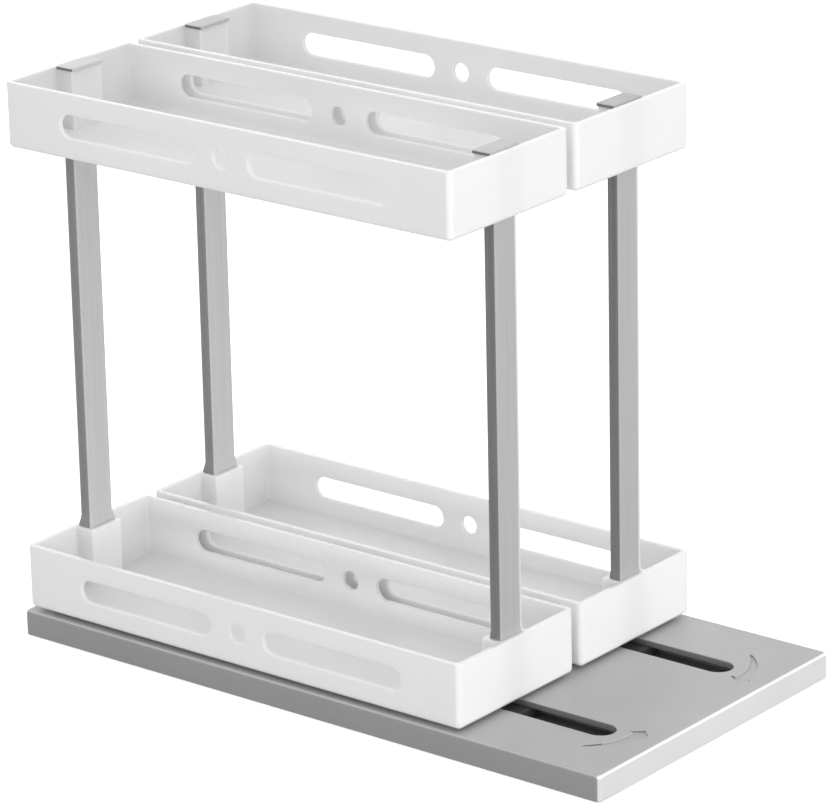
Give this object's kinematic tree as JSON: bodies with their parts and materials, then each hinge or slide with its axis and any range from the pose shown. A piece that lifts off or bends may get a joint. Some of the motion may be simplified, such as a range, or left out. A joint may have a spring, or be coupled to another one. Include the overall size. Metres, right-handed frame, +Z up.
{
  "type": "pull-out spice rack",
  "caption": "Side-by-side two-tier spice racks on a low slotted base; each rack pulls forward on its base slot and swings outward about a pivot pin under its front.",
  "frame": {"origin": "centre of the base's footprint, on the surface that it stands on", "axes": "+Z up; the pull-out front faces -Y; +X runs from the left rack to the right rack as seen from the front"},
  "size_m": [0.1436, 0.274, 0.2211],
  "materials": {
    "grey_plastic": "satin",
    "black_plastic": "matte",
    "pad_rubber": "matte",
    "screw_steel": "zinc plated",
    "pin_steel": "turned",
    "nylon": "satin",
    "white_plastic": "satin",
    "post_plastic": "satin",
    "cap_plastic": "satin"
  },
  "bodies": {
    "base": {"base_shell": "grey_plastic", "base_underplate": "black_plastic", "base_screws": "screw_steel", "base_pads": "pad_rubber"},
    "left_slider": {"left_slide_shoe": "black_plastic"},
    "left_rack": {"left_pivot_pin": "pin_steel", "left_lower_tray": "white_plastic", "left_upper_tray": "white_plastic", "left_front_post": "post_plastic", "left_rear_post": "post_plastic", "left_front_cap": "cap_plastic", "left_rear_cap": "cap_plastic", "left_lower_screws": "screw_steel", "left_upper_screws": "screw_steel", "left_glides": "nylon"},
    "right_slider": {"right_slide_shoe": "black_plastic"},
    "right_rack": {"right_pivot_pin": "pin_steel", "right_lower_tray": "white_plastic", "right_upper_tray": "white_plastic", "right_front_post": "post_plastic", "right_rear_post": "post_plastic", "right_front_cap": "cap_plastic", "right_rear_cap": "cap_plastic", "right_lower_screws": "screw_steel", "right_upper_screws": "screw_steel", "right_glides": "nylon"}
  },
  "joints": [
    {"name": "left_pull_out", "type": "slide", "parent": "base", "child": "left_slider", "axis": [0, -1, 0], "range_m": [0, 0.0504]},
    {"name": "left_swing", "type": "hinge", "parent": "left_slider", "child": "left_rack", "pos_m": [-0.03655, -0.0614, 0.02], "axis": [0, 0, 1], "range_deg": [0, 90]},
    {"name": "right_pull_out", "type": "slide", "parent": "base", "child": "right_slider", "axis": [0, -1, 0], "range_m": [0, 0.0504]},
    {"name": "right_swing", "type": "hinge", "parent": "right_slider", "child": "right_rack", "pos_m": [0.03655, -0.0614, 0.02], "axis": [0, 0, -1], "range_deg": [0, 90]}
  ]
}
